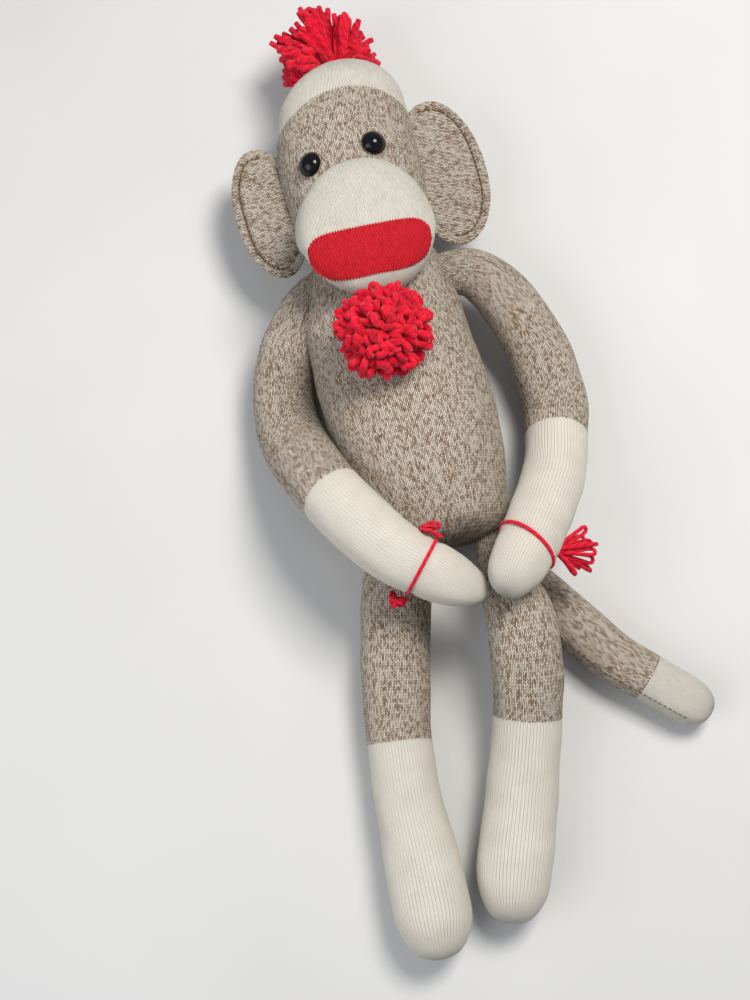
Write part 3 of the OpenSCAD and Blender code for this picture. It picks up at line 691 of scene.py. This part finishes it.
def thread_colour(base):
    """Colour of a plied yarn: a little lighter or darker from strand to strand, and painted shade in the
    crevices between the twisted plies with painted highlight on their crowns.
    """
    def colour(d):
        uv = d.node("UVMap", {"uv_map": "knit"})
        u = d.node("SeparateXYZ", sockets={0: uv}, out=0)
        v = d.node("SeparateXYZ", sockets={0: uv}, out=1)
        which = d.node("CombineXYZ", sockets={0: u.floor()})
        strand = d.node("TexWhiteNoise", {"noise_dimensions": "2D"}, {"Vector": which})
        # The twist term darkens the crevices between the plies and lightens their crowns: painted shade and
        # painted highlight; the strand term is each strand's own random tone.
        tone_and_painted_shade = strand * 0.4 + (((u.part() * 2 + v).part() * np.pi).sine()) * 0.4 + 0.12
        dark, light = tuple(c * 0.5 for c in base), tuple(min(1, c * 1.25 + 0.01) for c in base)
        return d.node("ValToRGB", {"stops": [(0.0, dark), (0.55, base), (1.0, light)]}, {"Fac": tone_and_painted_shade})
    return colour


def ply_relief(d):
    uv = d.node("UVMap", {"uv_map": "knit"})
    u = d.node("SeparateXYZ", sockets={0: uv}, out=0)
    v = d.node("SeparateXYZ", sockets={0: uv}, out=1)
    return ((u.part() * 2 + v).part() * np.pi).sine()


def strands(name, routes, radii, material, sides=6, twist=5.5):
    """One mesh of many strands: routes [strand, point, xyz] and radii [strand, point] in millimetres.

    Each ring is the route's point plus radius times cos and sin along two directions square to it.
    The first and last rings are closed by a point. u counts strands, v counts twists of the yarn.
    """
    routes, radii = np.asarray(routes, float), np.asarray(radii, float)
    count, knots = routes.shape[:2]
    ahead = np.gradient(routes, axis=1)
    ahead /= np.linalg.norm(ahead, axis=-1)[..., None] + 1e-9
    # The reference direction is the one that the whole strand turns towards least
    pull = np.abs(ahead).max(1)
    ref = np.eye(3)[pull.argmin(1)][:, None]
    first = np.cross(ahead, ref)
    first /= np.linalg.norm(first, axis=-1)[..., None] + 1e-9
    second = np.cross(ahead, first)
    spin = np.arange(sides) * 2 * np.pi / sides
    ring = (routes[:, :, None] + radii[..., None, None] * (first[:, :, None] * np.cos(spin)[:, None]
                                                           + second[:, :, None] * np.sin(spin)[:, None]))
    bulge = 0.4
    tips = np.stack([routes[:, 0] - ahead[:, 0] * radii[:, :1] * bulge,
                     routes[:, -1] + ahead[:, -1] * radii[:, -1:] * bulge], 1)
    per = knots * sides
    points = np.concatenate([ring.reshape(-1, 3), tips.reshape(-1, 3)]) * MM
    s, i, j = (a.ravel() for a in np.meshgrid(np.arange(count), np.arange(knots - 1), np.arange(sides),
                                              indexing="ij"))
    k, low = (j + 1) % sides, s * per + i * sides
    quads = np.stack([low + j, low + k, low + sides + k, low + sides + j], 1)
    step = np.linalg.norm(np.diff(routes, axis=1), axis=-1)
    run = np.concatenate([np.zeros((count, 1)), np.cumsum(step, axis=1)], 1) / twist
    u0, u1 = s + 0.02 + 0.96 * j / sides, s + 0.02 + 0.96 * (j + 1) / sides
    quad_uv = np.stack([np.stack([u0, run[s, i]], 1), np.stack([u1, run[s, i]], 1),
                        np.stack([u1, run[s, i + 1]], 1), np.stack([u0, run[s, i + 1]], 1)], 1)
    s, j = (a.ravel() for a in np.meshgrid(np.arange(count), np.arange(sides), indexing="ij"))
    k, base, first_tip = (j + 1) % sides, s * per, count * per + 2 * s
    starts = np.stack([first_tip, base + k, base + j], 1)
    ends = np.stack([first_tip + 1, base + (knots - 1) * sides + j, base + (knots - 1) * sides + k], 1)
    u0, u1 = s + 0.02 + 0.96 * j / sides, s + 0.02 + 0.96 * (j + 1) / sides
    fan = [np.stack([np.stack([u, run[s, r]], 1) for u in ((u0 + u1) / 2, a, b)], 1)
           for r, a, b in ((0, u1, u0), (-1, u0, u1))]
    every_uv = np.concatenate([f.reshape(-1, 2) for f in (quad_uv, *fan)])
    mesh = bpy.data.meshes.new(name)
    mesh.from_pydata(points.tolist(), [], quads.tolist() + starts.tolist() + ends.tolist())
    layer = mesh.uv_layers.new(name="knit")
    layer.data.foreach_set("uv", every_uv.astype(np.float32).ravel())
    mesh.polygons.foreach_set("use_smooth", np.ones(len(mesh.polygons), bool))
    mesh.materials.append(material)
    mesh.update()
    made = bpy.data.objects.new(name, mesh)
    bpy.context.collection.objects.link(made)
    return made


def stitches(name, line, outward, material, long, gap, thick, slant=0.0, arch=0.35):
    """Hand or machine stitches along a line of points: each a short arch that dips in at both ends."""
    run = np.r_[0, np.cumsum(np.linalg.norm(np.diff(line, axis=0), axis=1))]
    starts = np.arange(0, run[-1] - long, long + gap)
    part = np.linspace(0, 1, 6)
    where = starts[:, None] + part * long
    route = np.stack([np.interp(where, run, line[:, c]) for c in range(3)], -1)
    out = np.stack([np.interp(where, run, outward[:, c]) for c in range(3)], -1)
    beside = np.cross(np.gradient(route, axis=1), out)
    beside /= np.linalg.norm(beside, axis=-1)[..., None]
    bow = np.sin(np.pi * part)
    route = route + out * (arch * bow - 0.15)[:, None] + beside * (slant * (part - 0.5))[:, None]
    radii = np.broadcast_to(thick / 2 * (0.55 + 0.45 * bow), where.shape)
    return strands(name, route, radii, material)


ragg_thread = finish_of("ragg_thread", thread_colour((0.13, 0.08, 0.045)), 0.8, ply_relief, 0.0001,
                        sheen=0.1)
ear_half_thick, ear_inset = 2.7, 6.0
for side, root, turned, dip, reach, half in (("left", (4, 161, 46), 14, 8, 37, 49),
                                             ("right", (-84, 140.5, 42), 196, 10, 30, 44)):
    a, b = np.radians(turned), np.radians(dip)
    ex = np.array([np.cos(b) * np.cos(a), np.cos(b) * np.sin(a), -np.sin(b)])
    ey = np.array([-np.sin(a), np.cos(a), 0])
    ez = np.cross(ex, ey)
    radius = reach / (1 - np.cos(np.radians(115)))
    centre = radius * 0.423

    def ear_point(rho, g, face):
        """Point of the ear at share rho from its middle to its rim, at angle g, on face +1 or -1.

        The outline is an ellipse cut straight inside the head. The thickness is a rounded pillow
        with a channel where the topstitching pulls the layers together.
        """
        rho, g = np.broadcast_arrays(rho, g)
        x = np.maximum(radius * np.cos(g), -centre - 11)
        y = half * np.sin(g)
        edge = np.hypot(x, y)
        from_rim = edge * (1 - rho)
        puff = np.sqrt(np.clip(1 - rho ** 9, 0, 1))
        pillow = ear_half_thick * puff * (0.72 + 0.28 * np.cos(rho * 1.4))
        channel = 1.9 * np.exp(-((from_rim - ear_inset) / 1.5) ** 2) * (rho < 0.98)
        wave = 0.5 * np.sin(3 * g + rho * 4) * rho + 0.35 * np.sin(x * rho / 5 + y * rho / 7)
        cup = 2.6 * rho ** 2 * np.clip(np.cos(g), 0, 1)
        z = face * (pillow - channel) + wave + cup
        local = np.stack([centre + x * rho, y * rho, z], -1)
        return np.array(root) + local @ np.stack([ex, ey, ez]), local

    g = np.linspace(0, 2 * np.pi, 181)
    rho = np.r_[np.linspace(0.01, 0.72, 22), np.linspace(0.74, 0.97, 22), 0.985, 0.995, 1.0][:, None]
    front, flat_front = ear_point(rho, g, 1)
    back, flat_back = ear_point(rho[:-1], g, -1)
    skin, flat = np.concatenate([front, back[::-1]]), np.concatenate([flat_front, flat_back[::-1]])
    uv = np.stack([flat[..., 1] * MM / wale, flat[..., 0] * MM / course], -1)
    ear = rows_mesh(f"ear_ragg_{side}", skin[:, -2::-1] * MM, uv[:, ::-1], ragg_knit,
                    front[0].mean(0) * MM, back[0].mean(0) * MM, flat_uv=True)
    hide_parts(f"ear_front_{side}", f"ear_back_{side}")
    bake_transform(ear)
    around = np.radians(np.linspace(-100, 100, 200))
    rim_x = np.maximum(radius * np.cos(around), -centre - 11)
    rim_at = 1 - ear_inset / np.hypot(rim_x, half * np.sin(around))
    line = ear_point(rim_at, around, 1)[0] + ez * 0.3
    seam = stitches(f"ear_stitches_{side}", line, np.tile(ez, (200, 1)), ragg_thread, 2.6, 0.6, 1.1,
                    arch=0.6)
    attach(seam, f"ear_{side}")
    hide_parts(f"ear_topstitch_{side}")

# --- Chin pompom: loops of soft red yarn tied round the middle, some cut and some left as loops ---
red_yarn = finish_of("red_yarn", thread_colour((0.58, 0.006, 0.026)), 1.0, ply_relief, 0.00025,
                     sheen=0.15)
chance = np.random.default_rng(7)


def unit(v):
    return v / (np.linalg.norm(v, axis=-1)[..., None] + 1e-9)


def ball_ways(count):
    """Directions spread evenly over a sphere: equal steps of height, each turned by the golden angle."""
    n = np.arange(count) + 0.5
    z = 1 - 2 * n / count
    turned = n * 2.39996
    return np.stack([np.sqrt(1 - z * z) * np.cos(turned), np.sqrt(1 - z * z) * np.sin(turned), z], -1)


def loop_routes(middle, ways, reach, gap, squash=1.0):
    """Loops that go out along a way, round a half circle, and back beside themselves."""
    beside = unit(np.cross(ways, chance.normal(size=ways.shape)))
    droop = chance.normal(size=ways.shape) * 1.5
    s = np.linspace(0, 1, 5)[:, None]
    half_turn = np.linspace(0, np.pi, 5)[:, None]
    w, e, r = ways[:, None], beside[:, None], reach[:, None, None]
    out = w * (0.12 * r + (0.88 * r - gap) * s) + e * gap * (0.35 + 0.65 * s)
    cap = w * (r - gap + gap * 1.1 * np.sin(half_turn)) + e * gap * np.cos(half_turn)
    back = w * (0.12 * r + (0.88 * r - gap) * s[::-1]) - e * gap * (0.35 + 0.65 * s[::-1])
    route = np.concatenate([out[:, :-1], cap, back[:, 1:]], 1)
    route = route + droop[:, None] * (np.linalg.norm(route, axis=-1) / reach[:, None])[..., None] ** 2
    return np.asarray(middle) + route * [1, 1, squash]


chin = np.array([-23.5, 40, 99])
ways = ball_ways(300)
ways = ways[ways[:, 2] > -0.9]
reach = 26 * chance.uniform(0.88, 1.03, len(ways)) * (1 - 0.1 * np.abs(ways[:, 2]))
routes = loop_routes(chin, ways, reach, 2.0, 0.86)
aside = (routes[..., :2] - chin[:2]) @ across[:2]
routes[..., 2] = np.maximum(routes[..., 2], 80.5 - aside ** 2 / 105)
chin_pompom = strands("chin_pompom_loops", routes, np.full(routes.shape[:2], 1.9), red_yarn, sides=7)
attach(chin_pompom, "torso")
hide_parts("chin_pompom", "chin_pompom_tie")

# --- Crown pompom: cut yarn ends that flop up and to one side from the tie on the crown ---
tie = neck + along * 133 + across * 5 + [0, 0, 2]
clumps, per_clump = 30, 12
sweep = np.radians(np.linspace(14, 204, clumps) + chance.uniform(-6, 6, clumps))
lift = np.radians(chance.uniform(-22, 50, clumps))
reach = np.interp(np.degrees(sweep), [14, 45, 80, 105, 130, 165, 206], [29, 32, 36, 46, 46, 40, 31])
reach = reach * chance.uniform(0.88, 1.02, clumps)
main = np.stack([np.cos(sweep) * np.cos(lift), np.sin(sweep) * np.cos(lift), np.sin(lift)], -1)
way = unit(np.repeat(main, per_clump, 0) + chance.normal(size=(clumps * per_clump, 3)) * 0.1)
long = np.repeat(reach, per_clump) * chance.uniform(0.84, 1.0, len(way))
hook = (np.repeat(chance.normal(size=(clumps, 3)) * 4.5, per_clump, 0)
        + chance.normal(size=way.shape) * 1.2)
s = np.linspace(0, 1, 14)
flat = np.array([0, 0, 7.0]) * (s ** 2)[:, None] * np.repeat(np.cos(lift), per_clump)[:, None, None]
route = tie + way[:, None] * (long[:, None] * s)[..., None] + hook[:, None] * (s ** 2)[:, None] - flat
for size, pitch_of, each in ((1.7, 8, clumps), (0.8, 13, len(way))):
    # Whole locks wave together, and each strand wavers a little of its own
    wave = unit(chance.normal(size=(each, 3))) * size
    beat = np.sin(s * pitch_of + chance.uniform(0, 6, (each, 1)))[..., None] * s[:, None] ** 0.7
    route = route + np.repeat(wave[:, None] * beat, len(way) // each, 0)
route[..., 2] = np.maximum(route[..., 2], 3)
swell = np.interp(s, [0, 0.15, 0.9, 1], [0.7, 1, 1.05, 0.95])
thick = 1.8 * chance.uniform(0.85, 1.15, (len(way), 1)) * swell
crown_pompom = strands("crown_pompom_strands", route, thick, red_yarn)
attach(crown_pompom, "crown_pompom")
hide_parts("crown_pompom", "crown_pompom_tie")

# --- Wrist ties: red yarn wound tight round each wrist, knotted, with its ends left as a tassel ---
for side, limb, wrist, tilt in (("left", arm_left, 9.05, (-4.5, 3.5)),
                                ("right", arm_right, 9.1, (0, 0))):
    p = spline(limb, np.array([wrist]))[0]
    before, after = spline(limb, np.array([wrist - 0.01, wrist + 0.01]))
    ahead = unit((after - before)[:3])
    beside = unit(np.cross(ahead, (0, 0, 1)))
    above = np.cross(beside, ahead)
    g = np.radians(np.linspace(185, 555, 150))
    pitch = np.linspace(-0.6, 0.6, len(g)) + tilt[0] * np.cos(g) + tilt[1] * np.sin(g)
    wound = (p[:3] + beside * ((p[3] + 0.25) * np.cos(g))[:, None]
             + above * ((p[4] + 0.25) * np.sin(g))[:, None] + ahead * pitch[:, None])
    band = strands(f"wrist_yarn_{side}_wound", wound[None], np.full((1, 150), 1.05), red_yarn, sides=8)
    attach(band, f"forearm_{side}")
    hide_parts(f"wrist_yarn_{side}")

knot = np.array([70.5, -79, 71])
fan = np.radians(np.linspace(-38, 34, 11))
ways = unit(np.stack([np.cos(fan), np.sin(fan) * 0.9 + 0.1, -0.35 + 0.25 * np.cos(fan * 7)], -1))
routes = loop_routes(knot, ways, 25 * chance.uniform(0.75, 1.1, 11), 2.2)
tassel = strands("wrist_tassel_left_loops", routes, np.full(routes.shape[:2], 1.15), red_yarn)
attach(tassel, "forearm_left")
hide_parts("wrist_tassel_left")

tufts = []
for middle, facing, reaching in (((-4, -69, 81), (1, 0.1, 0.3), 12),
                                 ((-20, -104, 62), (0.9, -0.1, 0.15), 9)):
    ways = unit(np.array(facing) + chance.normal(size=(6, 3)) * 0.32)
    tufts.append(loop_routes(middle, ways, reaching * chance.uniform(0.7, 1.1, 6), 1.4))
routes = np.concatenate(tufts)
tassel = strands("wrist_tassel_right_loops", routes, np.full(routes.shape[:2], 0.95), red_yarn)
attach(tassel, "forearm_right")
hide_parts("wrist_tassel_right")

# --- Seams: cream thread that sews the muzzle, shoulders, crotch and tail ---
sewing_thread = finish_of("sewing_thread", thread_colour((0.66, 0.60, 0.50)), 0.8, ply_relief, 0.0001,
                          sheen=0.1)
turn = np.linspace(0, 2 * np.pi, 300)
rim = (muzzle_mid + across * ((muzzle_half * 0.93 - 0.9) * np.cos(turn))[:, None]
       + along * (muzzle_long * down(0.907 * np.sin(turn)))[:, None])
rim[:, 2] = seat(rim) + 0.1
out = unit(across * np.cos(turn)[:, None] + along * np.sin(turn)[:, None] + [0, 0, 0.6])
muzzle_seam = stitches("muzzle_whip_stitches", rim, out, sewing_thread, 2.2, 1.4, 0.7,
                       slant=1.8, arch=0.5)
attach(muzzle_seam, "head")
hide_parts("muzzle_seam")
for side, x, y, z in (("left", 17, 97, 43), ("right", -60, 92, 42)):
    g = np.linspace(0, 2 * np.pi, 60)
    ring = np.stack([np.full(60, x), y + 5 * np.cos(g), z + 5 * np.sin(g)], -1)
    out = np.stack([0 * g, np.cos(g), np.sin(g)], -1)
    sewn = stitches(f"shoulder_stitches_{side}", ring, out, sewing_thread, 2.0, 0.8, 0.8)
    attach(sewn, f"shoulder_{side}")
    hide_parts(f"shoulder_seam_{side}")
slit = np.linspace(0, 1, 14)
line = np.stack([8 + 8.4 * slit, -80 + 3 * slit, 30 + 4 * np.sin(np.pi * slit)], -1)
out = np.tile([0, 0, 1.0], (len(slit), 1))
crotch = stitches("crotch_stitches", line, out, sewing_thread, 1.8, 0.6, 0.8)
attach(crotch, "torso")
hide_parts("crotch_seam")
t = np.linspace(2.8, 7.5, 120)
p = spline(tail_limb, t)
ahead = unit((spline(tail_limb, t + 0.01) - spline(tail_limb, t - 0.01))[:, :3])
beside = unit(np.cross(ahead, (0, 0, 1)))
low = np.radians(35)
above = np.array([0, 0, 1])
out = unit(beside * np.cos(low) + above * np.sin(low))
line = (p[:, :3] + beside * ((p[:, 3] + 0.1) * np.cos(low))[:, None]
        + above * ((p[:, 4] + 0.1) * np.sin(low))[:, None])
tail_seam = stitches("tail_stitches", line, out, ragg_thread, 2.2, 1.0, 0.8)
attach(tail_seam, "tail")
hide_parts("tail_seam")

# --- Eye washers: hidden inside the head, pressed over each shank ---


def washer_colour(d):
    place = d.node("TexCoord", out=3)
    haze = d.node("TexNoise", sockets={"Vector": place, "Scale": 400.0})
    stops = [(0.0, (0.01, 0.01, 0.01)), (1.0, (0.03, 0.03, 0.03))]
    return d.node("ValToRGB", {"stops": stops}, {"Fac": haze})


washer_plastic = finish_of("washer_plastic", washer_colour, 0.55)
for side in ("left", "right"):
    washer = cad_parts[f"eye_washer_{side}"]
    washer.material_slots[0].material = washer_plastic

# --- Table: not part of the toy ---


def table_colour(d):
    place = d.node("TexCoord", out=3)
    grain = d.node("TexNoise", sockets={"Vector": place, "Scale": 7.0, "Detail": 2.0})
    stops = [(0.0, (0.58, 0.58, 0.57)), (1.0, (0.64, 0.64, 0.63))]
    return d.node("ValToRGB", {"stops": stops}, {"Fac": grain})


table_mesh = bpy.data.meshes.new("table_top")
table_mesh.from_pydata([(-4, -4, 0), (4, -4, 0), (4, 4, 0), (-4, 4, 0)], [], [(0, 1, 2, 3)])
table_mesh.materials.append(finish_of("table", table_colour, 0.8))
table_top = bpy.data.objects.new("table_top", table_mesh)
bpy.context.collection.objects.link(table_top)
